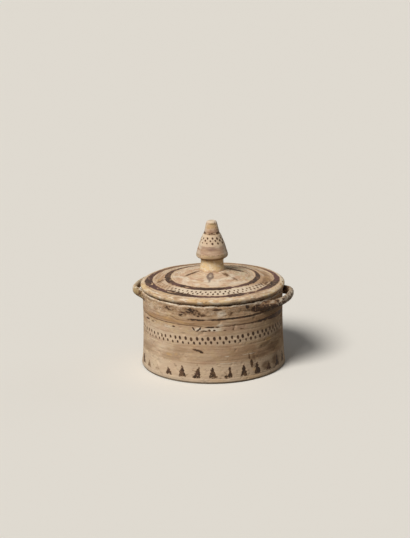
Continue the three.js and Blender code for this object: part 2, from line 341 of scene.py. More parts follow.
# Pale worn patches and lines, with painted highlights along the rim's top edge and on the ridge at the
# right handle's root
WALL_PALE_MARKS_AND_HIGHLIGHTS = (
    (0, 47.3, 19, 3.4, 0, 1), (-13, 47.2, 10, 3.2, 0, 0.85), (5, 50.6, 6, 2.8, 0, 0.75),
    (-39, 46.8, 14, 2.2, 0, 0.6), (6, 60.4, 9, 6, 0, 0.75), (43, 65.4, 20, 2.6, -3, 1),
    (35, 60.2, 5, 1, 25, 0.85), (29, 23.4, 14, 0.6, 0, 0.9), (11, 23.4, 6, 0.7, 0, 0.9),
    (11, 17.6, 30, 0.5, 0, 0.6), (-25, 66.6, 50, 1.2, 0, 0.6), (25, 66.6, 40, 1.2, 0, 0.5),
)

# Places where a ray has flaked off to pale clay
RAY_HOLLOWS = (
    (1.4, 8.6, 1.3, 4, 12, 0.8), (10.6, 9.4, 2.2, 6.4, -14, 1), (-1, 6, 4, 0.8, 0, 0.7),
)

# Lines on the wall: angle, lower edge, upper edge, strength and purple
RIM_LINE = (
    (-180, 55, 56, 0.5, 0.3), (-80, 55, 55.8, 0.2, 0.2), (-22, 54.8, 55.6, 0.25, 0.2),
    (-17, 54.5, 56.1, 0.95, 0.2), (-8, 54.6, 55.9, 0.9, 0.2), (-6, 55, 55.6, 0.4, 0.2),
    (-1, 54.7, 56.1, 0.95, 0.2), (9, 55.1, 56.6, 1, 0.3), (30, 55.4, 57.1, 1, 0.3),
    (45, 56.2, 57.8, 0.85, 0.2), (62, 55.8, 57.8, 0.7, 0.2), (110, 55.2, 56.6, 0.6, 0.3),
)
BELLY_LINE = (
    (-180, 49.5, 50.5, 0.5, 0.4), (-70, 50, 51, 0.4, 0.3), (-30, 49.9, 50.8, 0.5, 0.2),
    (-9, 49.6, 50.4, 0.4, 0.2), (-6, 48.7, 49.7, 0.5, 0.2), (-4.5, 48.5, 49.8, 1, 0.2),
    (3, 48.6, 49.8, 1, 0.3), (5.5, 49.3, 49.9, 0.3, 0.5), (10, 49.4, 50.3, 0.65, 0.6),
    (28, 49.5, 50.5, 0.65, 0.6), (36, 49.2, 50.6, 0.8, 0.9), (41, 48.8, 50.9, 0.95, 1),
    (50, 48.6, 51.6, 0.7, 0.4), (64, 47.8, 52, 0.85, 0.1), (80, 48.2, 51.4, 0.75, 0.1),
    (120, 49.2, 50.6, 0.6, 0.4),
)

# Marks on the lid: angle, radius, and the rest as above
LID_OCHRE_STAINS = (
    (-84, 47, 12, 6, 0, 0.6), (84, 47.5, 16, 6, 0, 0.6), (60, 28, 14, 10, 0, 0.5),
    (-20, 28, 14, 5, 0, 0.4), (-10, 61.5, 22, 3.6, 0, 0.9), (0, 61.5, 12, 3, 0, 0.6),
    (76, 61.5, 14, 4, 0, 0.9), (-76, 61, 18, 4, 0, 0.7), (150, 47, 30, 6, 0, 0.5),
    (-150, 26, 24, 12, 0, 0.5),
)
# Brown stains, mostly at the lid's left and right ends, where they also paint shade
LID_BROWN_STAINS_AND_SHADE = (
    (76, 47.5, 26, 9, 0, 1), (80, 62.2, 12, 3, 0, 0.9), (58, 46.5, 14, 4, 0, 0.6),
    (98, 45.5, 18, 6, 0, 0.6), (-80, 44.5, 10, 6, 0, 0.8), (-96, 48, 16, 4, 0, 0.5),
    (40, 57.5, 12, 3, 0, 0.5),
)
LID_DARK_MARKS = (
    (61, 47.8, 2.4, 1.6, 0, 0.95), (66, 46.2, 1.6, 1.3, 0, 0.6), (-80, 43.6, 3, 5, 0, 0.55),
    (-84, 47, 3, 2, 0, 0.5), (84, 61, 5, 1.4, 0, 0.5), (-28, 60, 12, 0.8, 0, 0.35),
    (92, 29.5, 3.4, 3, 0, 0.85), (70, 49, 9, 2.4, 0, 0.6), (-78, 47, 7, 5, 0, 0.5),
)
# Pale worn patches, with painted highlights along the lid's rounded edge
LID_PALE_MARKS_AND_HIGHLIGHTS = (
    (22, 61, 10, 3, 0, 0.8), (-55, 60.5, 20, 2, 0, 0.6), (96, 60.5, 36, 4, 0, 1),
    (0, 27, 44, 9, 0, 0.6), (-100, 61, 30, 2, 0, 0.6),
)

# Brushed streaks round the knob: angle, radius, length, half width and strength
LID_STREAKS = (
    (99, 20.5, 17, 3.2, 0.9), (40, 18, 11, 2.6, 0.5), (44, 27.5, 8, 1.8, 0.46),
    (-67, 18.8, 17, 2.3, 0.6),
)

# The painted rings on the lid: angle, inner edge, outer edge, strength and purple
OUTER_RING = (
    (-180, 54, 57, 0.3, 0.4), (-125, 53.5, 57.5, 0.45, 0.5), (-100, 52.5, 58.2, 0.95, 0.5),
    (-84, 51.8, 58.6, 1, 0.2), (-70, 51.4, 57.8, 0.85, 0.9), (-52, 51.2, 55.8, 0.7, 1),
    (-44, 49.6, 56.4, 1, 0.1), (-22, 50.8, 57, 1, 0.1), (-13, 52.4, 57.2, 0.75, 0.9),
    (11, 52.6, 57.2, 0.7, 0.9), (15, 51.4, 57.8, 1, 0.4), (27, 51, 57.2, 1, 0.1),
    (32, 52, 56.4, 0.6, 0.9), (45, 52.2, 55.6, 0.55, 0.4), (57, 51.4, 57.2, 1, 0.7),
    (66, 51.2, 57.4, 1, 0.1), (80, 51.8, 57.8, 1, 0), (86, 53.5, 58.2, 0.75, 1),
    (108, 54.5, 58.4, 0.6, 1), (128, 55, 58, 0.3, 0.8),
)
INNER_RING = (
    (-180, 37.5, 40.5, 0.65, 0.3), (-112, 37, 41.4, 0.75, 0.2), (-90, 36, 41.4, 0.85, 0),
    (-70, 36.4, 41.8, 0.85, 0.1), (-54, 37.2, 42, 0.5, 1), (-46, 36.8, 41.6, 0.6, 0.8),
    (-40, 36.8, 41.6, 1, 0.1), (-30, 37.2, 42.3, 0.85, 0.5), (-15, 37.3, 42.4, 0.95, 0.3),
    (8, 37.4, 42.4, 0.9, 0.1), (13, 37.4, 42.3, 0.9, 0.3), (22, 37, 42, 1, 0.9),
    (25, 38.6, 41.4, 0.45, 1), (36, 38, 41.6, 0.65, 1), (44, 37.6, 41.8, 0.95, 0.5),
    (60, 37, 41.8, 1, 0.1), (92, 37.2, 41.4, 1, 0.1), (106, 38.6, 41.2, 0.9, 0.1),
    (130, 39.2, 41, 0.75, 0.1),
)

# How clear the lid's dots are: angle and strength
LID_DOTS_SEEN = (
    (-180, 0.35), (-75, 0.45), (-52, 0.6), (-42, 1), (18, 1), (28, 0.6), (62, 0.75), (80, 0.3),
)

# One stain at the cone's tip, in the terms of the wall's marks
CONE_TIP_STAINS = ((2, 124, 7, 1.2, 0, 0.9),)


def unit(vector):
    return vector / max(np.linalg.norm(vector), 1e-9)


def lumps(places, size, seed):
    """Smooth random values from -1 to 1 at places in mm, with lumps about size mm across."""
    grid = np.random.default_rng(seed).uniform(-1, 1, (NOISE_CELLS,) * 3)
    cells = places @ NOISE_TURN / size + seed
    low = np.floor(cells).astype(int)
    share = cells - low
    share = share * share * (3 - 2 * share)
    total = np.zeros(len(places))
    for corner in itertools.product((0, 1), repeat=3):
        index = (low + corner) % NOISE_CELLS
        weight = np.where(corner, share, 1 - share).prod(axis=1)
        total += weight * grid[index[:, 0], index[:, 1], index[:, 2]]
    return total


def smooth(values, low, high):
    """0 at low and 1 at high, with a soft start and end; it falls where high is below low."""
    share = np.clip((values - low) / (high - low), 0, 1)
    return share * share * (3 - 2 * share)


def hump(values, middle, width):
    """1 at the middle, down to 0 at width to either side."""
    return smooth(np.abs(values - middle), width, 0)


def rounded(corners):
    """A line through (radius, height, round), where each corner is cut back by round and curved."""
    line = [corners[0][:2]]
    for before, corner, after in zip(corners, corners[1:], corners[2:]):
        middle = np.array(corner[:2], float)
        start = middle + unit(np.array(before[:2]) - middle) * corner[2]
        end = middle + unit(np.array(after[:2]) - middle) * corner[2]
        for share in np.linspace(0, 1, CURVE_STEPS):
            line.append(start * (1 - share) ** 2 + middle * 2 * share * (1 - share) + end * share ** 2)
    line.append(corners[-1][:2])
    return np.array(line, float)


def evenly(line, step):
    """The same line in even steps."""
    lengths = np.r_[0, np.cumsum(np.linalg.norm(np.diff(line, axis=0), axis=1))]
    count = max(2, round(lengths[-1] / step) + 1)
    along = np.linspace(0, lengths[-1], count)
    return np.column_stack([np.interp(along, lengths, line[:, axis]) for axis in (0, 1)])


def joined(*lines):
    """Lines one after another, each starting where the last ended."""
    return np.concatenate([lines[0]] + [line[1:] for line in lines[1:]])


def line_normals(line, closed):
    """The way out of the clay at each point of an outline that runs up the outside and down the inside."""
    if closed:
        along = np.roll(line, -1, axis=0) - np.roll(line, 1, axis=0)
    else:
        along = np.gradient(line, axis=0)
    along /= np.maximum(np.linalg.norm(along, axis=1), 1e-9)[:, None]
    return np.column_stack([along[:, 1], -along[:, 0]])


def turned_places(line, normals, steps):
    """Places and ways out of a turned surface, row by row, and each place's angle from the viewer."""
    seen = np.arange(steps) * 360 / steps - 180
    turn = np.radians(seen + CAMERA_TURN - 90)
    ring = np.column_stack([np.cos(turn), np.sin(turn)])
    radial = (line[:, None, :1] * ring[None]).reshape(-1, 2)
    places = np.column_stack([radial, np.repeat(line[:, 1], steps)])
    ways = (normals[:, None, :1] * ring[None]).reshape(-1, 2)
    outward = np.column_stack([ways, np.repeat(normals[:, 1], steps)])
    return places, outward, np.tile(seen, len(line))


def grid_faces(rows, steps, closed):
    """Four-sided faces of rows that each run round the axis."""
    last = rows if closed else rows - 1
    low = np.arange(last)[:, None] * steps
    high = (np.arange(last)[:, None] + 1) % rows * steps
    here = np.arange(steps)[None]
    after = (here + 1) % steps
    return np.stack([low + here, low + after, high + after, high + here], axis=-1).reshape(-1, 4)


def fan(centre, ring, upward):
    """Triangles from one centre point to the ring round it."""
    after = np.roll(ring, -1)
    pairs = zip(ring, after) if upward else zip(after, ring)
    return [(centre, int(a), int(b)) for a, b in pairs]


def add_object(name, data):
    thing = bpy.data.objects.new(name, data)
    bpy.context.scene.collection.objects.link(thing)
    return thing


def mesh_object(name, places, faces):
    mesh = bpy.data.meshes.new(name)
    mesh.from_pydata((places * MM).tolist(), [], faces)
    mesh.shade_smooth()
    return add_object(name, mesh)


def turned_piece(name, line, steps, relief, closed=False):
    """A turned piece of clay, raised by relief. An open outline starts and ends on the axis."""
    normals = line_normals(line, closed)
    inner = slice(None) if closed else slice(1, -1)
    places, outward, seen = turned_places(line[inner], normals[inner], steps)
    places = places + outward * relief(places, seen)[:, None]
    rows = len(places) // steps
    faces = grid_faces(rows, steps, closed).tolist()
    if not closed:
        ends = np.array([[0, 0, line[0, 1]], [0, 0, line[-1, 1]]])
        ring = np.arange(steps)
        faces += fan(len(places), ring, upward=False)
        faces += fan(len(places) + 1, ring + (rows - 1) * steps, upward=True)
        places = np.concatenate([places, ends])
    return mesh_object(name, places, faces)


def frame_sizes():
    """The driving places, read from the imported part, in mm."""
    high = {}
    low = {}
    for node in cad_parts:
        low[node], high[node] = (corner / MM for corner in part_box(node))
    return SimpleNamespace(
        base_radius=high["base_disc"].x,
        base_top=high["base_disc"].z,
        foot_radius=high["body_wall"].x,
        rim=high["body_wall"].z,
        seat=low["lid_plate"].z,
        lid_radius=high["lid_plate"].x,
        crown=high["lid_plate"].z,
        flange_radius=high["lid_flange"].x,
        flange_foot=low["lid_flange"].z,
        stem_radius=high["knob_stem"].x,
        cone_foot=low["knob_cone"].z,
        cone_radius=high["knob_cone"].x,
        top=high["knob_cone"].z,
        handle_reach=high["handle_right"].x,
        handle_middle=(low["handle_right"].z + high["handle_right"].z) / 2,
    )


def flat_distance(places):
    return np.hypot(places[:, 0], places[:, 1])


def along_wheel(places, size, flatness, seed):
    """Lumps drawn out round the wheel, so that they look like turning marks."""
    return lumps(places * (1 / flatness, 1 / flatness, 1), size, seed)


def across_wheel(places, size, flatness, seed):
    """The same for an upward face, where the marks are circles about the axis."""
    rings = np.column_stack([places[:, :2] / flatness, flat_distance(places)])
    return lumps(rings, size, seed)


def pot_relief(places):
    """Depth of the base's and the wall's surface: turning marks, grooves, worn places and pits."""
    height = places[:, 2]
    outside = smooth(flat_distance(places), *SKIN_RADII)
    depth = 0.10 * lumps(places, 24, 1) + 0.05 * lumps(places, 7, 2) - 0.12
    depth += 0.07 * along_wheel(places, 1.8, 14, 3)
    wobble = 0.35 * lumps(places, 18, 4)
    broken = 0.55 + 0.45 * lumps(places, 6, 5)
    depth -= outside * 0.55 * broken * hump(height, RIM_GROOVE + wobble, 0.9)
    depth -= outside * 0.35 * broken * hump(height, BELLY_GROOVE + wobble, 0.8)
    for line in WHEEL_LINES:
        depth -= outside * 0.12 * hump(height, line + wobble, 0.6)
    rubbed = outside * smooth(height, RUBBED_ZONE - 1.5, RUBBED_ZONE + 1.5)
    depth -= rubbed * (0.12 + 0.22 * smooth(lumps(places, 2.4, 6), 0.0, 0.6))
    depth -= rubbed * 0.25 * smooth(along_wheel(places, 1.5, 5, 7), 0.2, 0.7)
    pits = smooth(lumps(places, 2.6, 8), 0.62, 0.8)
    depth -= outside * 0.45 * pits
    ridges = np.sin(height * FULL_TURN / WHEEL_RIDGE_SPACING + lumps(places, 20, 9))
    depth += (1 - outside) * 0.18 * ridges * smooth(height, 6, 12) * smooth(height, 66, 60)
    return depth


def wall_relief(places, seen):
    """The pot's surface with the chipped rim and the clay smeared on where the handles join."""
    height = places[:, 2]
    depth = pot_relief(places)
    chips = smooth(lumps(places, 6, 11), 0.30, 0.55)
    depth -= 0.9 * chips * smooth(height, *RIM_CHIP_HEIGHTS)
    outside = smooth(flat_distance(places), *SMEAR_RADII)
    for angle, width in ROOT_SMEARS:
        smear = hump(seen, angle, width) * hump(height, ROOT_SMEAR_MIDDLE, ROOT_SMEAR_REACH)
        depth += outside * ROOT_SMEAR_HEIGHT * smear
    return depth


def base_relief(places, seen):
    """The pot's surface, kept flat where it stands."""
    return pot_relief(places) * smooth(places[:, 2], 0.0, 0.8)


def lid_relief(places, seen):
    """Depth of the lid's surface: turning marks, the tool's lines beside the rings, and worn edges."""
    radius = flat_distance(places)
    upper = smooth(places[:, 2], *LID_TOP_HEIGHTS)
    edge = smooth(radius, *LID_EDGE_RADII)
    depth = 0.10 * lumps(places, 22, 21) + 0.06 * lumps(places, 6, 22) - 0.14
    depth += 0.06 * across_wheel(places, 1.7, 14, 23)
    wobble = 0.3 * lumps(places, 16, 24)
    for line, deep in LID_TOOL_LINES:
        depth -= upper * deep * hump(radius, line + wobble, 0.8)
    depth -= upper * 0.2 * smooth(lumps(places, 2.6, 25), 0.35, 0.7)
    depth -= edge * (0.18 + 0.18 * lumps(places, 11, 26))
    chips = smooth(lumps(places, 7, 27), 0.32, 0.6)
    depth -= edge * 0.7 * chips * smooth(places[:, 2], *LID_CHIP_HEIGHTS)
    return depth


def knob_relief(places, seen):
    """Depth of the knob's surface: soft turning marks and small dents."""
    depth = 0.10 * lumps(places, 8, 31) + 0.05 * lumps(places, 3, 32) - 0.12
    depth += 0.06 * along_wheel(places, 1.2, 8, 33)
    depth -= 0.2 * smooth(lumps(places, 2.2, 34), 0.5, 0.8)
    return depth


def base_piece(at):
    """The disc that the pot stands on, hollowed a little underneath."""
    top = at.base_top
    hidden = evenly(rounded([
        (0, RECESS_DEPTH, 0),
        (RECESS_RADIUS, RECESS_DEPTH, 0.8),
        (RECESS_RADIUS + RECESS_SLOPE, 0, 0.6),
        (at.base_radius - FINE_EDGE, 0, 0),
    ]), HIDDEN_STEP)
    edge = evenly(rounded([
        (at.base_radius - FINE_EDGE, 0, 0),
        (at.base_radius, 0, BASE_ROUND),
        (at.base_radius, top - BASE_SHOULDER, 1.2),
        (at.foot_radius, top, 0.3),
        (at.foot_radius - FINE_LAP, top, 0),
    ]), FINE_STEP)
    floor = evenly(np.array([(at.foot_radius - FINE_LAP, top), (0, top)]), HIDDEN_STEP)
    return turned_piece("base_clay", joined(hidden, edge, floor), WALL_STEPS, base_relief)


def wall_piece(at):
    """The wall, drawn in a little at its waist, with its rim and its inside."""
    mouth = RIM_RADIUS - WALL_THICKNESS
    floor = at.base_top
    outside = evenly(rounded([
        (at.foot_radius, floor - FOOT_OVERLAP, 0),
        (LOWER_WALL_RADIUS, LOWER_WALL_HEIGHT, 9),
        (WAIST_RADIUS, WAIST_HEIGHT, 7),
        (UPPER_WALL_RADIUS, UPPER_WALL_HEIGHT, 6),
        (RIM_RADIUS, at.rim, RIM_ROUND),
        (mouth, at.rim, RIM_ROUND),
        (mouth, at.rim - FINE_MOUTH, 0),
    ]), FINE_STEP)
    inside = evenly(rounded([
        (mouth, at.rim - FINE_MOUTH, 0),
        (WAIST_RADIUS - WALL_THICKNESS, WAIST_HEIGHT, 9),
        (at.foot_radius - WALL_THICKNESS - FOOT_FILLET / 2, floor + FOOT_FILLET, 2),
        (at.foot_radius - WALL_THICKNESS - FOOT_FILLET, floor - FOOT_OVERLAP, 0),
    ]), HIDDEN_STEP)
    return turned_piece("wall_clay", joined(outside, inside), WALL_STEPS, wall_relief, closed=True)


def lid_piece(at):
    """The lid's plate: a low dome with a thick rounded edge, hollow underneath."""
    seat = at.seat
    bore = at.flange_radius - FLANGE_THICKNESS
    under = evenly(rounded([
        (0, at.crown - LID_THICKNESS, 0),
        (LID_CROWN_RADIUS, at.crown - LID_THICKNESS, 3),
        (LID_LEDGE_RADIUS, seat + LID_LEDGE_HEIGHT - LID_THICKNESS, 4),
        (LID_STEP_RADIUS, seat + LID_STEP_HEIGHT - LID_THICKNESS, 2),
        (bore, seat, 0.4),
        (at.lid_radius - FINE_EDGE, seat, 0),
    ]), HIDDEN_STEP)
    top = evenly(rounded([
        (at.lid_radius - FINE_EDGE, seat, 0),
        (at.lid_radius - LID_UNDERCUT, seat, 0.9),
        (at.lid_radius, seat + LID_BELLY, 1.2),
        (at.lid_radius - LID_SHOULDER_INSET, seat + LID_SHOULDER_HEIGHT, 0.9),
        (at.lid_radius - LID_LIP_INSET, seat + LID_LIP_HEIGHT, 0.9),
        (at.lid_radius - LID_BAND_INSET, seat + LID_BAND_HEIGHT, 1.2),
        (LID_CHANNEL_RADIUS, seat + LID_CHANNEL_HEIGHT, 1.8),
        (LID_STEP_RADIUS, seat + LID_STEP_HEIGHT, 1.4),
        (LID_LEDGE_RADIUS, seat + LID_LEDGE_HEIGHT, 1.5),
        (LID_DOME_RADIUS, seat + LID_DOME_HEIGHT, 6),
        (LID_CROWN_RADIUS, at.crown, 1.5),
        (0, at.crown, 0),
    ]), FINE_STEP)
    return turned_piece("lid_clay", joined(under, top), LID_STEPS, lid_relief)


def flange_piece(at):
    """The ring under the lid that drops into the mouth."""
    outer = at.flange_radius
    bore = outer - FLANGE_THICKNESS
    middle = bore + FLANGE_THICKNESS / 2
    foot = at.flange_foot
    line = evenly(rounded([
        (middle, foot, 0),
        (outer, foot, FLANGE_ROUND),
        (outer, at.seat, 0.1),
        (bore, at.seat, 0.1),
        (bore, foot, FLANGE_ROUND),
        (middle, foot, 0),
    ]), FLANGE_STEP)[:-1]
    return turned_piece("flange_clay", line, LID_STEPS, knob_relief, closed=True)


def stem_piece(at):
    """The short stem between the lid and the cone."""
    foot = at.crown
    head = at.cone_foot
    line = evenly(rounded([
        (0, foot - STEM_SUNK, 0),
        (at.stem_radius, foot - STEM_SUNK, 0.2),
        (at.stem_radius, foot + STEM_FOOT_HEIGHT, 0.4),
        (STEM_NECK, (foot + head) / 2, 3.5),
        (STEM_HEAD, head, 0.2),
        (0, head, 0),
    ]), STEM_STEP)
    return turned_piece("stem_clay", line, KNOB_STEPS, knob_relief)


def cone_piece(at):
    """The cone on the stem, with a rounded lower edge, one ledge and a blunt tip."""
    foot = at.cone_foot
    ledge = CONE_LEDGE_RADIUS - CONE_LEDGE_INSET
    line = evenly(rounded([
        (0, foot, 0),
        (CONE_FOOT_RADIUS, foot, 0.8),
        (at.cone_radius - CONE_LIP_INSET, foot + CONE_LIP_HEIGHT, 0.8),
        (at.cone_radius, foot + CONE_WIDEST_HEIGHT, 1.1),
        (CONE_BELLY_RADIUS, foot + CONE_BELLY_HEIGHT, 4),
        (CONE_LEDGE_RADIUS, foot + CONE_LEDGE_HEIGHT, 0.5),
        (ledge, foot + CONE_LEDGE_HEIGHT + CONE_LEDGE_RISE, 0.5),
        (CONE_TIP_RADIUS, at.top - CONE_TIP_HEIGHT, 0.9),
        (CONE_TIP_RADIUS - CONE_TIP_INSET, at.top, 0.7),
        (0, at.top, 0),
    ]), CONE_STEP)
    return turned_piece("cone_clay", line, KNOB_STEPS, knob_relief)


def handle_line(at):
    """The middle line of the right handle, out from the wall, round the loop and back."""
    share = np.linspace(-1, 1, HANDLE_STEPS)
    degrees = share * HANDLE_END_ANGLE
    bend = smooth(np.abs(degrees), HANDLE_FLAT_ANGLE, HANDLE_BENT_ANGLE)
    reach = at.handle_reach - HANDLE_HALF_THICKNESS - HANDLE_SLACK
    radius = reach + (RIM_RADIUS - HANDLE_EMBED - reach) * bend
    turn = np.radians(degrees)
    height = at.handle_middle - HANDLE_ROOT_DIP * bend
    return np.column_stack([radius * np.cos(turn), radius * np.sin(turn), height]), bend


def handle_piece(name, at, turn, lift, seed):
    """A rolled strip of clay bent into a loop, spread flat on the wall at both roots."""
    middle, bend = handle_line(at)
    along = np.gradient(middle, axis=0)
    along /= np.linalg.norm(along, axis=1)[:, None]
    outward = np.cross(along, (0, 0, 1))
    angle = np.arange(HANDLE_SECTION_STEPS) * FULL_TURN / HANDLE_SECTION_STEPS
    spread = 1 + HANDLE_ROOT_SPREAD * bend
    thick = HANDLE_HALF_THICKNESS + HANDLE_ROOT_THICKER * hump(bend, 0.35, 0.4)
    side = outward[:, None] * (np.cos(angle)[None] * thick[:, None])[..., None]
    rise = (np.sin(angle)[None] * (HANDLE_HALF_HEIGHT * spread)[:, None])[..., None] * np.array([0, 0, 1])
    places = (middle[:, None] + side + rise).reshape(-1, 3)
    ways = (side + rise).reshape(-1, 3)
    ways /= np.linalg.norm(ways, axis=1)[:, None]
    bumps = 0.28 * lumps(places, 7, seed) + 0.12 * lumps(places, 2.6, seed + 1) - 0.3
    places = places + ways * bumps[:, None]
    radius = flat_distance(places)
    places[:, :2] *= (np.maximum(radius, HANDLE_INSET) / radius)[:, None]
    places[:, 2] += lift
    cos, sin = math.cos(turn), math.sin(turn)
    places = places @ np.array([[cos, sin, 0], [-sin, cos, 0], [0, 0, 1]])
    faces = grid_faces(HANDLE_STEPS, HANDLE_SECTION_STEPS, closed=False)[:, ::-1].tolist()
    last = (HANDLE_STEPS - 1) * HANDLE_SECTION_STEPS
    faces.append(list(range(HANDLE_SECTION_STEPS)))
    faces.append(list(range(last + HANDLE_SECTION_STEPS - 1, last - 1, -1)))
    return mesh_object(name, places, faces)


def linear(colour):
    """A colour from 0 to 255 as Blender's linear colour."""
    shares = [value / 255 for value in colour]
    return [s / 12.92 if s <= 0.04045 else ((s + 0.055) / 1.055) ** 2.4 for s in shares] + [1.0]


def plug(tree, node, inputs):
    """Sets a node's inputs, in order or by name, each to a number or to another node's output."""
    for place, value in inputs.items() if isinstance(inputs, dict) else enumerate(inputs):
        value = value.socket if isinstance(value, Value) else value
        if isinstance(value, bpy.types.NodeSocket):
            tree.links.new(value, node.inputs[place])
        else:
            node.inputs[place].default_value = value


def add_node(tree, kind, inputs=(), **settings):
    """A new node with its settings made and its inputs plugged in."""
    node = tree.nodes.new("ShaderNode" + kind)
    for name, value in settings.items():
        setattr(node, name, value)
    plug(tree, node, inputs)
    return node


class Value:
    """One number in a material's nodes, so that a pattern is written as plain arithmetic."""

    def __init__(self, tree, socket):
        self.tree = tree
        self.socket = socket

    def passed(self, kind, inputs, **settings):
        """What a new node makes of this value."""
        return Value(self.tree, add_node(self.tree, kind, inputs, **settings).outputs[0])

    def math(self, operation, *others):
        return self.passed("Math", (self, *others), operation=operation)

    def __add__(self, other):
        return self.math("ADD", other)

    def __sub__(self, other):
        return self.math("SUBTRACT", other)

    def __mul__(self, other):
        return self.math("MULTIPLY", other)

    def __truediv__(self, other):
        return self.math("DIVIDE", other)

    def without(self, other):
        """This mask where the other one isn't."""
        return self * (other * -1 + 1)

    def larger(self, other):
        return self.math("MAXIMUM", other)

    def root(self):
        return self.math("SQRT")

    def size(self):
        return self.math("ABSOLUTE")

    def whole(self):
        return self.math("FLOOR")

    def part(self):
        return self.math("FRACT")

    def mask(self, low, high, top=1.0):
        """A soft step from 0 at low to top at high, which also runs downward."""
        return self.passed("MapRange", (self, low, high, 0.0, top), interpolation_type="SMOOTHSTEP")


class Clay:
    """A clay material in the making: where a point is, the colour so far and the bumps."""

    def __init__(self, name, mark_radius=1.0, round_marks=False):
        self.mark_radius = mark_radius
        self.material = bpy.data.materials.new(name)
        self.material.use_nodes = True
        self.tree = self.material.node_tree
        self.seed = 0
        self.spot = self.node("TexCoord").outputs["Object"]
        split = self.node("SeparateXYZ", (self.spot,))
        self.x, self.y, self.height = (Value(self.tree, s) * (1 / MM) for s in split.outputs)
        self.radius = (self.x * self.x + self.y * self.y).root()
        turn = math.radians(CAMERA_TURN)
        across = self.x * math.cos(turn) + self.y * math.sin(turn)
        toward = self.x * math.sin(turn) - self.y * math.cos(turn)
        self.angle = across.math("ARCTAN2", toward) * (360 / FULL_TURN)
        self.across = across / self.radius
        self.ahead = toward / self.radius
        self.level = self.radius if round_marks else self.height
        self.wheel_spot = self.spot
        if round_marks:
            self.wheel_spot = self.join(self.x * MM, self.y * MM, (self.radius - self.height) * MM)
        self.colour = linear(CLAY)
        self.bumps = 0.0

    def node(self, kind, inputs=(), **settings):
        return add_node(self.tree, kind, inputs, **settings)

    def upward(self):
        """How far the surface faces up, from -1 to 1."""
        normal = self.node("TexCoord").outputs["Normal"]
        return Value(self.tree, self.node("SeparateXYZ", (normal,)).outputs[2])

    def join(self, x, y, z):
        return self.node("CombineXYZ", (x, y, z)).outputs[0]

    def mapped(self, vector, kind, location, turn, scale):
        inputs = {"Vector": vector, "Location": location, "Rotation": (0, 0, turn), "Scale": scale}
        return self.node("Mapping", inputs, vector_type=kind).outputs[0]

    def noise(self, size, stretch=1.0, detail=2.0):
        """Noise about 0.5, with lumps about size mm across, drawn out round the wheel by stretch."""
        self.seed += 1
        source = self.spot if stretch == 1.0 else self.wheel_spot
        scale = 1 / (size * MM)
        scales = (scale / stretch, scale / stretch, scale)
        place = self.mapped(source, "POINT", (0, 0, self.seed * NOISE_SHIFT), 0, scales)
        node = self.node("TexNoise", {"Vector": place, "Scale": 1.0, "Detail": detail})
        return Value(self.tree, node.outputs[0])

    def fade(self, vector):
        """1 where a vector is zero, down to 0 where its length is 1."""
        node = self.node("TexGradient", {"Vector": vector}, gradient_type="SPHERICAL")
        return Value(self.tree, node.outputs["Fac"])

    def parts(self, colour):
        """A colour's red, green and blue as three values."""
        split = self.node("SeparateColor", (colour,))
        return [Value(self.tree, socket) for socket in split.outputs]

    def chance(self, cell):
        """Three random numbers from 0 to 1 for each cell of a repeating pattern."""
        self.seed += 1
        inputs = {"W": cell + self.seed * CHANCE_SHIFT}
        return self.parts(self.node("TexWhiteNoise", inputs, noise_dimensions="1D").outputs["Color"])

    def ramp(self, share, stops, interpolation="LINEAR"):
        """Four numbers from 0 to 1 that change with share, from (share, four numbers) stops."""
        node = self.node("ValToRGB", (share,))
        node.color_ramp.interpolation = interpolation
        elements = node.color_ramp.elements
        elements.remove(elements[1])
        for index, (place, numbers) in enumerate(stops):
            stop = elements[0] if index == 0 else elements.new(place)
            stop.position = place
            stop.color = numbers
        return self.parts(node.outputs["Color"]) + [Value(self.tree, node.outputs["Alpha"])]

    def coat(self, colour, cover):
        """Lays a colour over what is there, as far as cover says."""
        inputs = {0: cover, 6: self.colour, 7: linear(colour)}
        self.colour = self.node("Mix", inputs, data_type="RGBA").outputs[2]

    def finish(self, roughness):
        bump = self.node("Bump", {"Distance": MM, "Height": self.bumps})
        plug(self.tree, self.tree.nodes["Principled BSDF"], {
            "Normal": bump.outputs[0],
            "Base Color": self.colour,
            "Roughness": roughness,
            "Specular IOR Level": SPECULAR_LEVEL,
        })
        return self.material


def patches(clay, rows, zone=None):
    """Lays colours over the clay in uneven patches, everywhere or in a zone."""
    for colour, size, stretch, low, high, strength in rows:
        cover = clay.noise(size, stretch).mask(low, high, strength)
        clay.coat(colour, cover if zone is None else zone * cover)


def bare_clay(clay):
    """Buff clay: broad warm and grey patches, turning streaks, specks and grain."""
    patches(clay, BARE_PATCHES)
    streaks = clay.noise(1.3, 26)
    clay.coat(TAN, streaks.mask(0.48, 0.68, 0.55))
    patches(clay, BARE_SPECKS)
    clay.bumps = streaks * 0.14 + clay.noise(0.5, detail=3.0) * 0.06 + clay.noise(2.6, detail=3.0) * 0.22


def slip_and_shade_coat(clay, cover):
    """Worn dark paint: black-brown in the thick parts, brown and purple where it is thin. On the handles
    and the cone the cover also holds painted shade.
    """
    thick = clay.noise(4, 1.6, detail=3.0)
    clay.coat(WASH, cover.mask(0.02, 0.35, 0.7))
    clay.coat(BROWN_SLIP, cover.mask(0.2, 0.6, 0.9))
    clay.coat(PURPLE_SLIP, cover.mask(0.3, 0.7) * (clay.noise(6).mask(0.38, 0.62) * PURPLE_TINT))
    clay.coat(BLACK_SLIP, cover.mask(0.4, 0.95) * thick.mask(0.68, 0.44, 0.92))


def worn(clay, size, low, high, stretch=1.0):
    """Where paint of that grain is still there: from flaked at 0 to whole at 1."""
    return clay.noise(size, stretch, detail=4.0).mask(low, high)


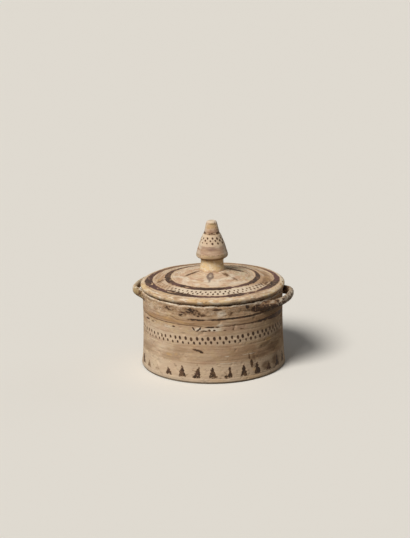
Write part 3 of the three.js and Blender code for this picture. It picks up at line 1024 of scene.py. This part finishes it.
def dots(clay, count, rows, tilt=0.0):
    """Rows of small painted dots round the axis: (level, half width, half height, shift in steps)."""
    cover = None
    for level, half_width, half_height, shift in rows:
        steps = clay.angle * (count / 360) + shift
        first, second, third = clay.chance(steps.whole())
        step_width = clay.radius * (FULL_TURN / count)
        upright = clay.level - level - clay.across * tilt + (second - 0.5) * (half_height * 0.5)
        sideways = (steps.part() - 0.5 + (first - 0.5) * 0.16) * step_width + upright * 0.12
        sideways = sideways / half_width
        upright = upright / half_height
        distance = (sideways * sideways + upright * upright).root()
        distance = distance + (third - 0.5) * 0.3 - clay.across * 0.15
        dot = distance.mask(1.3, 0.6) * third.mask(2.4, 0.5, DOT_STRENGTH)
        cover = dot if cover is None else cover.larger(dot)
    return cover


def marks(clay, places):
    """Single brush marks and stains: (angle, level, width, height, lean in degrees, strength)."""
    degree = clay.mark_radius * FULL_TURN / 360
    side = clay.noise(1.7, detail=3.0) * 1.8 - 0.9
    rise = clay.noise(1.3, detail=3.0) * 1.2 - 0.6
    flat = clay.join(clay.angle * degree + side, clay.level + rise, 0.0)
    cover = None
    for angle, level, width, height, lean, strength in places:
        middle = (angle * degree, level, 0)
        spread = (width * MARK_REACH / 2, height * MARK_REACH / 2, 1)
        place = clay.mapped(flat, "TEXTURE", middle, math.radians(lean), spread)
        mark = clay.fade(place).mask(0.0, MARK_CORE, strength)
        cover = mark if cover is None else cover.larger(mark)
    return cover


def rays(clay):
    """The row of upright rays at the foot of the wall."""
    random = np.random.default_rng(5)
    stops = []
    for index in range(RAYS):
        guess = (random.uniform(0.2, 1.0), random.uniform(0.55, 1.0), random.uniform(-0.3, 0.3))
        strength, tall, lean = SEEN_RAYS.get(index - RAYS // 2, guess)
        stops.append((index / RAYS, (strength, tall / 2, lean / 2 + 0.5, 1)))
    steps = (clay.angle - RAY_OFFSET) * (RAYS / 360) + 0.5
    share = (steps.whole() + RAYS // 2 + 0.5) / RAYS
    strength, tall, lean = clay.ramp(share.part(), stops, "CONSTANT")[:3]
    ragged = clay.noise(1.5, detail=4.0) - 0.5
    rise = (clay.height - RAY_FOOT) / (tall * (2 * (RAY_TIP - RAY_FOOT))) + ragged * 0.5
    sideways = (steps.part() - 0.5) * (FULL_TURN * RAY_RADIUS / RAYS)
    sideways = sideways - (lean - 0.5) * (rise - 0.3) * RAY_LEAN
    edge = sideways.size() - (rise * -1 + 1.05) * RAY_HALF_WIDTH + ragged * 2.6
    inside = edge.mask(0.5, -0.5) * rise.mask(-0.06, 0.05) * rise.mask(1.15, 0.8)
    return inside * strength


def round_ramp(clay, stops):
    """Four numbers that change round the axis, from (angle, four numbers) stops, closed behind the pot."""
    places = [(angle / 360 + 0.5, numbers) for angle, numbers in stops]
    places.append((RING_END_ANGLE / 360 + 0.5, stops[0][1]))
    return clay.ramp(clay.angle / 360 + 0.5, places)


def round_strength(clay, stops):
    """A strength that changes round the axis, from a few (angle, strength) stops."""
    return round_ramp(clay, [(angle, (strength, strength, strength, 1)) for angle, strength in stops])[0]


def ring(clay, stops, ragged=2.2):
    """A painted ring that changes round the axis: (angle, inner edge, outer edge, strength, purple)."""
    places = []
    for angle, inner, outer, strength, purple in stops:
        edges = [(level - RING_START) / RING_SPAN for level in (inner, outer)]
        places.append((angle, (*edges, strength, purple)))
    inner, outer, strength, purple = round_ramp(clay, places)
    level = (clay.level + (clay.noise(2.6, detail=4.0) - 0.5) * ragged - RING_START) / RING_SPAN
    soft = 0.45 / RING_SPAN
    cover = (level - inner).mask(-soft, soft) * (outer - level).mask(-soft, soft)
    return cover * strength, cover * purple


def slip_line(clay, level, half_width, wobble):
    """A painted or dirty line round the axis at a level."""
    away = (clay.level - level + (clay.noise(11) - 0.5) * wobble).size()
    return away.mask(half_width * 1.6, half_width * 0.5)


def band(clay, levels, soft):
    """A band round the axis between two levels, with uneven edges."""
    low, high = levels
    level = clay.level + (clay.noise(7, detail=3.0) - 0.5) * 1.6
    return level.mask(low - soft, low + soft) * level.mask(high + soft, high - soft)


def wall_ground(clay):
    """The wall's bare colour: pinkish round the middle, paler low on the left and browner on the right,
    which are painted light on the side toward the key lamp and painted shade on the side away from it.
    """
    # Paler low on the left: painted light on the side toward the key lamp.
    clay.coat(CREAM, clay.height.mask(58, 24, 0.34) * clay.across.mask(-0.2, -0.8))
    patches(clay, WALL_BAND_PATCHES, band(clay, WALL_BROWN_BAND, 0.5))
    # Browner over the right half: painted shade on the side away from the key lamp.
    clay.coat(TAN, clay.angle.mask(-45, -5) * clay.angle.mask(150, 90, 0.45))
    clay.coat(TAN, clay.height.mask(55, 59, 0.35) * clay.noise(7, 2).mask(0.35, 0.6))
    clay.coat(CREAM, band(clay, WALL_DOT_BAND, 0.6) * 0.45)
    low = clay.height.mask(19.0, 15.0)
    clay.coat(CREAM, low * 0.4)
    clay.coat(UMBER, low * clay.noise(1.8, 2.2).mask(0.60, 0.70, 0.5))
    clay.coat(ROSE, marks(clay, WALL_ROSE_STAINS) * worn(clay, 4, 0.3, 0.6, 2.0) * 0.5)
    middle = clay.height.mask(34, 30) * clay.height.mask(16, 20)
    clay.coat(WASH, middle * clay.noise(9, 3).mask(0.45, 0.6, 0.45))
    clay.coat(CREAM, clay.height.mask(2.6, 1.2, 0.4) * clay.noise(3, 3).mask(0.4, 0.55))
    clay.coat(GREY, clay.height.mask(6.4, 3.6, 0.28) * clay.noise(5, 2).mask(0.2, 0.5))
    clay.coat(OCHRE, marks(clay, WALL_OCHRE_STAINS) * worn(clay, 4, 0.25, 0.5, 3.0) * 0.85)
    # Brown stains, which on the right also paint shade.
    clay.coat(UMBER, marks(clay, WALL_BROWN_STAINS_AND_SHADE) * worn(clay, 3.4, 0.22, 0.60, 3.0) * 0.85)


def rubbed_zone(clay):
    """The zone under the lid: rubbed clay with grey and brown flecks, and a pale painted highlight along
    the rim.
    """
    rubbed = clay.height.mask(RUBBED_ZONE - 2, RUBBED_ZONE + 1) * clay.height.mask(67.4, 66.4)
    flecks = clay.noise(1.3, 2.0, detail=3.0).mask(0.54, 0.66) * clay.noise(8).mask(0.40, 0.56)
    clay.coat(TAN, rubbed * clay.noise(2.6, 2).mask(0.44, 0.6, 0.6))
    clay.coat(UMBER, rubbed * flecks * 0.85)
    clay.coat(PALE, rubbed * clay.noise(1.1, 1.6).mask(0.60, 0.70, 0.6))
    # A pale painted highlight along the top of the rim.
    clay.coat(PALE, clay.height.mask(65.8, 66.6) * clay.noise(3).mask(0.35, 0.55, 0.7))


def wall_clay():
    """The wall and the base: rubbed rim zone, two dark lines, two rows of dots, and rays at the foot."""
    clay = Clay("wall_clay", RIM_RADIUS)
    bare_clay(clay)
    wall_ground(clay)
    rubbed_zone(clay)
    outside = clay.radius.mask(*PAINT_RADII)
    # Pale worn patches and lines, with painted highlights along the rim and on the ridge at the right
    # handle's root.
    pale = marks(clay, WALL_PALE_MARKS_AND_HIGHLIGHTS) * worn(clay, 1.8, 0.28, 0.50, 2.0)
    clay.coat(PALE, pale * outside * 0.9)
    flecked = marks(clay, WALL_FLECKED)
    clay.coat(UMBER, flecked * outside * 0.5)
    lines = None
    for stops in (RIM_LINE, BELLY_LINE):
        cover, purple = ring(clay, stops, ragged=0.9)
        lines = cover if lines is None else lines.larger(cover)
        clay.coat(PURPLE_SLIP, purple * cover * outside * 0.5)
    painted = dots(clay, WALL_DOTS, WALL_DOT_ROWS, WALL_DOT_TILT) * worn(clay, 3, 0.05, 0.30)
    painted = painted.larger(rays(clay) * worn(clay, 2.4, 0.24, 0.42))
    painted = painted.without(marks(clay, RAY_HOLLOWS))
    painted = painted.larger(marks(clay, WALL_DARK_MARKS) * worn(clay, 1.4, 0.26, 0.46, 2.0))
    painted = painted.larger(flecked * clay.noise(1.7, 1.7, detail=4.0).mask(0.40, 0.54))
    painted = painted.larger(lines * worn(clay, 2.4, 0.26, 0.48, 2.0)) * outside
    slip_and_shade_coat(clay, painted)
    return clay.finish(painted * -PAINT_GLOSS + CLAY_ROUGHNESS)


def drop(clay):
    """The worn drop in front of the knob: a dark ring with a pale heart, and a tail."""
    sideways = (clay.angle - DROP_ANGLE) * (DROP_RADIUS * FULL_TURN / 360) + (clay.noise(3) - 0.5) * 1.2
    upright = clay.radius - DROP_RADIUS
    near = clay.angle.mask(DROP_ANGLE - 60, DROP_ANGLE - 50)
    near = near * clay.angle.mask(DROP_ANGLE + 60, DROP_ANGLE + 50)
    distance = (sideways * sideways + upright * upright * 0.2).root()
    loop = (distance - DROP_LOOP).size().mask(1.5, 0.5, 0.95)
    tail = sideways.size().mask(0.9, 0.2) * clay.radius.mask(*DROP_TAIL_START)
    tail = tail * clay.radius.mask(*DROP_TAIL_END) * 0.85
    return loop.larger(tail) * near, distance.mask(1.7, 0.6) * near


def streaks(clay):
    """Brushed streaks that run outward from the knob: (angle, radius, length, half width, strength)."""
    cover = None
    for angle, level, length, half_width, strength in LID_STREAKS:
        turn = math.radians(angle)
        aside = clay.across * math.cos(turn) - clay.ahead * math.sin(turn)
        along = clay.across * math.sin(turn) + clay.ahead * math.cos(turn)
        aside = (aside * clay.radius + (clay.noise(9) - 0.5) * 2.4).size()
        along = (along * clay.radius - level).size()
        streak = aside.mask(half_width * 1.5, half_width * 0.2, strength)
        streak = streak * along.mask(length * 0.6, length * 0.2)
        cover = streak if cover is None else cover.larger(streak)
    return cover


def lid_clay():
    """The lid: a cream edge with painted highlights and painted shade on its lower flank, two dark rings, a
    dotted band between them, painted shade toward its left and right ends, and worn marks round the knob.
    """
    clay = Clay("lid_clay", LID_MARK_RADIUS, round_marks=True)
    bare_clay(clay)
    top = clay.upward().mask(0.0, 0.3)
    clay.coat(PALE, band(clay, LID_DOT_BAND, 0.6) * 0.6)
    clay.coat(CREAM, clay.radius.mask(37, 33) * 0.55)
    # Russet and tan toward the lid's left and right ends: painted shade where the lid turns from the light.
    aside = clay.across.size().mask(0.55, 0.92)
    clay.coat(RUSSET, aside * band(clay, LID_SIDE_SHADE_BAND, 0.8) * clay.noise(6, 3).mask(0.3, 0.6, 0.8))
    clay.coat(TAN, aside * clay.radius.mask(36, 31) * clay.noise(7, 2).mask(0.35, 0.65, 0.5))
    clay.coat(OCHRE, marks(clay, LID_OCHRE_STAINS) * worn(clay, 3.5, 0.25, 0.5, 2.0) * 0.85)
    # Brown stains, mostly at the lid's left and right ends, which also paint shade there.
    clay.coat(UMBER, marks(clay, LID_BROWN_STAINS_AND_SHADE) * worn(clay, 3.0, 0.30, 0.6, 2.0) * 0.7)
    disc = clay.radius.mask(*LID_DISC_RADII)
    patches(clay, LID_DISC_PATCHES, disc)
    right = disc * clay.ahead.mask(0.75, 0.35) * clay.across.mask(0.3, 0.7)
    clay.coat(SAGE, right * clay.noise(5).mask(0.38, 0.6, 0.6))
    clay.coat(TAN, disc * clay.noise(1.0, 14).mask(0.54, 0.66, 0.62))
    edge = clay.radius.mask(*LID_PAINTED_EDGE_RADII)
    # Patches on the edge, whose pale ones are painted highlights along the rounded edge.
    patches(clay, LID_EDGE_PATCHES_AND_HIGHLIGHTS, edge)
    # Pale worn patches, with painted highlights along the rounded edge.
    clay.coat(PALE, marks(clay, LID_PALE_MARKS_AND_HIGHLIGHTS) * worn(clay, 2.4, 0.35, 0.55, 2.0) * 0.8)
    # Brown on the lower flank of the edge, which faces down to the rim: painted shade.
    clay.coat(UMBER, clay.height.mask(69.2, 68.2) * edge * 0.6)
    outer, outer_purple = ring(clay, OUTER_RING)
    inner, inner_purple = ring(clay, INNER_RING)
    rings = outer.larger(inner) * worn(clay, 2.6, 0.27, 0.47, 2.4)
    painted = dots(clay, LID_DOTS, LID_DOT_ROWS)
    painted = painted * round_strength(clay, LID_DOTS_SEEN) * worn(clay, 3, 0.05, 0.30)
    loop, heart = drop(clay)
    worn_marks = streaks(clay) * worn(clay, 1.8, 0.25, 0.5)
    painted = painted.larger(rings).larger(worn_marks)
    painted = painted.larger(marks(clay, LID_DARK_MARKS) * worn(clay, 1.4, 0.3, 0.5)) * top
    slip_and_shade_coat(clay, painted)
    clay.coat(PURPLE_SLIP, outer_purple.larger(inner_purple) * painted.mask(0.1, 0.5) * top * 0.75)
    clay.coat(SMOKE, loop * worn(clay, 1.8, 0.15, 0.4) * top)
    clay.coat(GREY, heart * top * 0.7)
    return clay.finish(painted * -PAINT_GLOSS + CLAY_ROUGHNESS)


def cone_clay():
    """The cone: olive and rose bands, three rows of dots, a dark line at its ledge of paint and painted
    shade, painted shade at its foot, painted highlights at its left and right sides, and an ochre top.
    """
    clay = Clay("cone_clay", CONE_MARK_RADIUS)
    bare_clay(clay)
    clay.coat(CREAM, band(clay, CONE_DOT_BAND, 0.4) * 0.6)
    clay.coat(OLIVE, band(clay, CONE_OLIVE_BAND, 0.8) * clay.noise(4, 3).mask(0.3, 0.6, 0.55))
    clay.coat(ROSE, band(clay, CONE_ROSE_BAND, 0.6) * clay.noise(4, 4).mask(0.25, 0.55, 0.6))
    clay.coat(PURPLE_SLIP, band(clay, CONE_PURPLE_BAND, 0.5) * clay.noise(2.4, 6).mask(0.35, 0.65, 0.5))
    clay.coat(BROWN_SLIP, slip_line(clay, CONE_BROWN_LINE, 0.4, 0.8) * clay.noise(2).mask(0.4, 0.6, 0.5))
    clay.coat(ROSE, band(clay, CONE_UPPER_ROSE_BAND, 0.5) * clay.noise(4, 2).mask(0.3, 0.5, 0.75))
    clay.coat(OCHRE, band(clay, CONE_OCHRE_BAND, 0.5) * clay.noise(2.4, 5).mask(0.4, 0.6, 0.6))
    clay.coat(WASH, slip_line(clay, CONE_OCHRE_LINE, 0.35, 0.6) * clay.noise(2).mask(0.4, 0.6, 0.5))
    # Paler toward the cone's left and right sides as seen: painted rim highlights.
    clay.coat(PALE, clay.across.size().mask(0.62, 0.95, 0.6) * clay.noise(2.4, 1.5).mask(0.35, 0.55))
    clay.coat(PALE, clay.height.mask(*CONE_PALE_TIP, 0.6))
    clay.coat(OLIVE, marks(clay, CONE_TIP_STAINS))
    painted = dots(clay, CONE_DOTS, CONE_DOT_ROWS) * worn(clay, 5, 0.14, 0.34) * 0.8
    # Dark line at the ledge: brown paint and painted shade in the step.
    line = slip_line(clay, CONE_LEDGE_PAINT_AND_SHADE, 1.0, 1.0) * worn(clay, 2.0, 0.30, 0.62) * 0.62
    # Dark line at the cone's foot: painted shade under its lower edge.
    under = slip_line(clay, CONE_FOOT_SHADE_LINE, 0.9, 1.0) * 0.5
    slip_and_shade_coat(clay, painted.larger(line).larger(under))
    return clay.finish(painted * -PAINT_GLOSS + CLAY_ROUGHNESS)


def stem_clay():
    """The stem, stained yellow, with pale blotches and painted shade at its head under the cone."""
    clay = Clay("stem_clay")
    bare_clay(clay)
    patches(clay, STEM_PATCHES)
    clay.coat(PINK, clay.height.mask(*STEM_PINK_FOOT) * clay.noise(3).mask(0.35, 0.55, 0.7))
    # Painted shade at the stem's head, under the cone.
    clay.coat(WASH, clay.height.mask(*STEM_SHADED_HEAD, 0.6))
    return clay.finish(clay.noise(3) * 0.1 + 0.8)


def handle_clay():
    """The handles: pale outside, olive on top on the left, dark paint and painted shade underneath and on
    the inner face, a painted highlight on top, and grey-brown painted shade with dark paint on the right.
    """
    clay = Clay("handle_clay")
    bare_clay(clay)
    right = clay.angle.mask(*HANDLE_RIGHT_ANGLES)
    clay.coat(OLIVE, clay.radius.mask(*HANDLE_OLIVE_RADII) * clay.noise(4).mask(0.3, 0.55, 0.8))
    # Grey-brown over the right handle: painted shade on the side away from the key lamp.
    patches(clay, HANDLE_RIGHT_SHADE_PATCHES, right)
    clay.coat(PALE, clay.radius.mask(*HANDLE_PALE_RADII, 0.8) * clay.noise(3).mask(0.35, 0.5))
    # Dark paint on the underside and the inner face toward the wall: partly worn paint, partly painted
    # shade.
    low = clay.height.mask(*HANDLE_DARK_HEIGHTS) * clay.noise(3, 1.5).mask(0.35, 0.55)
    inner = clay.radius.mask(*HANDLE_DARK_RADII) * clay.noise(3).mask(0.38, 0.55)
    painted = low.larger(inner) * worn(clay, 1.8, 0.32, 0.52) * 0.6
    painted = painted.larger(right * clay.noise(3.4, 1.5, detail=3.0).mask(0.50, 0.62) * 0.8)
    root = right * clay.angle.mask(*HANDLE_ROOT_ANGLES) * clay.height.mask(*HANDLE_ROOT_HEIGHTS)
    painted = painted.larger(root * clay.noise(1.5, 1.6, detail=4.0).mask(0.40, 0.50))
    slip_and_shade_coat(clay, painted)
    # A painted highlight on the upper side of the handles.
    clay.coat(PALE, clay.height.mask(*HANDLE_HIGHLIGHT_HEIGHTS, 0.6) * clay.noise(1.6).mask(0.42, 0.58))
    return clay.finish(painted * -HANDLE_PAINT_GLOSS + CLAY_ROUGHNESS)


def plain_clay(name):
    """Bare clay for what is out of sight."""
    clay = Clay(name)
    bare_clay(clay)
    return clay.finish(clay.noise(3) * 0.08 + 0.82)


def floor_light():
    """How brightly the lamps and the sky light the floor, as shares of its own red, green and blue."""
    total = np.full(3, SKY_STRENGTH)
    for lamp in (KEY_LAMP, RIM_LAMP):
        total += lamp["strength"] * math.sin(math.radians(lamp["rise"])) * np.array(LAMP_COLOUR)
    return total


def seen_directly(tree):
    """1 for a ray from the camera, a reflection or a clear part, and 0 for light that bounces."""
    path = add_node(tree, "LightPath").outputs
    seen = Value(tree, path["Is Camera Ray"])
    for kind in ("Is Glossy Ray", "Is Transmission Ray"):
        seen = seen.larger(Value(tree, path[kind]))
    return seen


def floor_material():
    """Pale to the camera, with its shadows, and a mid grey for the light that it throws back at the pot."""
    material = bpy.data.materials.new("floor")
    material.use_nodes = True
    tree = material.node_tree
    colours = {0: seen_directly(tree), 6: linear(FLOOR_BOUNCE), 7: linear(FLOOR_COLOUR)}
    shown = add_node(tree, "Mix", colours, data_type="RGBA").outputs[2]
    inputs = {"Base Color": shown, "Roughness": 1.0, "Specular IOR Level": 0.0}
    plug(tree, tree.nodes["Principled BSDF"], inputs)
    return material


def make_world():
    """Even light from all round, which the camera sees as the shade of the lit floor."""
    world = bpy.data.worlds.new("studio")
    world.use_nodes = True
    tree = world.node_tree
    light = tree.nodes["Background"]
    plug(tree, light, {"Color": (1, 1, 1, 1), "Strength": SKY_STRENGTH})
    shade = np.array(linear(FLOOR_COLOUR)[:3]) * floor_light()
    shown = add_node(tree, "Background", {"Color": (*shade, 1)})
    mixer = add_node(tree, "MixShader", (seen_directly(tree), light.outputs[0], shown.outputs[0]))
    plug(tree, tree.nodes["World Output"], {"Surface": mixer.outputs[0]})
    bpy.context.scene.world = world


def make_floor():
    """A plain pale floor."""
    mesh = bpy.data.meshes.new("floor")
    half = FLOOR_SIZE / 2
    corners = [(-half, -half, 0), (half, -half, 0), (half, half, 0), (-half, half, 0)]
    mesh.from_pydata(corners, [], [(0, 1, 2, 3)])
    floor = add_object("floor", mesh)
    mesh.materials.append(floor_material())


def away_from_axis(turn, rise):
    """The direction at an angle from the viewer's side and an angle above the floor."""
    flat = math.radians(turn + CAMERA_TURN)
    up = math.radians(rise)
    return Vector((math.sin(flat) * math.cos(up), -math.cos(flat) * math.cos(up), math.sin(up)))


def make_camera():
    """The camera at the photograph's angle."""
    data = bpy.data.cameras.new("camera")
    data.lens = CAMERA_LENS
    data.sensor_width = CAMERA_SENSOR
    camera = add_object("camera", data)
    back = away_from_axis(0, CAMERA_PITCH)
    right = away_from_axis(90, 0)
    camera.location = Vector((0, 0, AIM_HEIGHT)) - right * AIM_SIDE + back * CAMERA_DISTANCE
    camera.rotation_mode = "QUATERNION"
    level = (-back).to_track_quat("-Z", "Y")
    camera.rotation_quaternion = level @ Quaternion((0, 0, 1), -math.radians(CAMERA_ROLL))
    bpy.context.scene.camera = camera


def make_lamp(name, lamp):
    """A soft lamp far away, which lights everything evenly from one side."""
    data = bpy.data.lights.new(name, "SUN")
    data.angle = math.radians(lamp["softness"])
    data.energy = lamp["strength"] * math.pi
    data.color = LAMP_COLOUR
    light = add_object(name, data)
    way = away_from_axis(lamp["turn"], lamp["rise"])
    light.location = way
    light.rotation_mode = "QUATERNION"
    light.rotation_quaternion = way.to_track_quat("Z", "Y")


def dress(piece, body, node, material):
    """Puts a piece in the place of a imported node."""
    piece.data.materials.append(material)
    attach(piece, body)
    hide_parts(node)


def make_pieces():
    at = frame_sizes()
    pot_skin = wall_clay()
    bare = plain_clay("bare_clay")
    handle_skin = handle_clay()
    dress(base_piece(at), "pot", "base_disc", pot_skin)
    dress(wall_piece(at), "pot", "body_wall", pot_skin)
    right = handle_piece("handle_right_clay", at, 0, RIGHT_HANDLE_LIFT, 41)
    left = handle_piece("handle_left_clay", at, math.pi, LEFT_HANDLE_LIFT, 47)
    dress(right, "pot", "handle_right", handle_skin)
    dress(left, "pot", "handle_left", handle_skin)
    dress(lid_piece(at), "lid", "lid_plate", lid_clay())
    dress(flange_piece(at), "lid", "lid_flange", bare)
    dress(stem_piece(at), "lid", "knob_stem", stem_clay())
    dress(cone_piece(at), "lid", "knob_cone", cone_clay())


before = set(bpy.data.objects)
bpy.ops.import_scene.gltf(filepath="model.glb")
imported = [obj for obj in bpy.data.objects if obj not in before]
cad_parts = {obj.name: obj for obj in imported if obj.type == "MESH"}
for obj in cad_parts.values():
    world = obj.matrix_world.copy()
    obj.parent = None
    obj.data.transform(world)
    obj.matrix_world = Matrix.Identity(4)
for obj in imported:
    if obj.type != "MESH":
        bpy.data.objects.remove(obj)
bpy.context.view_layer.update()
make_pieces()
make_floor()
make_world()
make_camera()
make_lamp("key", KEY_LAMP)
make_lamp("rim", RIM_LAMP)
bpy.context.scene.view_settings.view_transform = "Standard"
bpy.context.view_layer.update()
